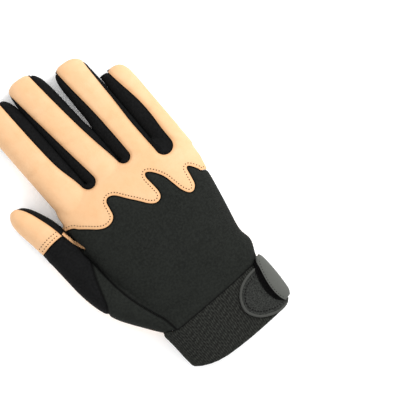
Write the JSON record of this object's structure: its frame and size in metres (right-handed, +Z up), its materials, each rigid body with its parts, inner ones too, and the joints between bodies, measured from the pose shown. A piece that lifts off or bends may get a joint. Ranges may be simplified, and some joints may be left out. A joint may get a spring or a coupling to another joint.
{
  "type": "mechanic glove",
  "caption": "Right-hand mechanic's work glove in tan synthetic leather and black stretch fabric, with padded palm patches, fingertip caps, an elastic cuff and a strap closure.",
  "frame": {"origin": "middle of the glove's box, on the surface that the glove lies on, palm down", "axes": "+Z up out of the back of the hand, +Y towards the fingertips, the thumb on the -X side"},
  "size_m": [0.1356, 0.2428, 0.0342],
  "materials": {
    "tan_leather": "smooth tan synthetic leather with a fine grain",
    "stretch_fabric": "matte black stretch knit",
    "patch_fabric": "black pebbled reinforcement fabric",
    "cuff_elastic": "black ribbed elastic",
    "tab_fabric": "dark textured closure fabric",
    "grey_binding": "woven grey binding"
  },
  "bodies": {
    "root": {"back_leather": "tan_leather", "back_panel": "stretch_fabric", "fourchette_index_middle": "stretch_fabric", "fourchette_middle_ring": "stretch_fabric", "fourchette_ring_pinky": "stretch_fabric", "palm_leather": "tan_leather", "palm_patch_upper": "patch_fabric", "palm_patch_lower": "patch_fabric", "cap_index": "patch_fabric", "cap_middle": "patch_fabric", "cap_ring": "patch_fabric", "cap_pinky": "patch_fabric", "cap_thumb": "patch_fabric", "thumb_tip_leather": "tan_leather", "thumb_panel": "stretch_fabric", "thumb_side": "stretch_fabric", "thumb_gusset": "stretch_fabric", "cuff_band": "cuff_elastic", "closure_tab": "tab_fabric", "tab_binding": "grey_binding", "tab_lip": "grey_binding"}
  },
  "joints": []
}
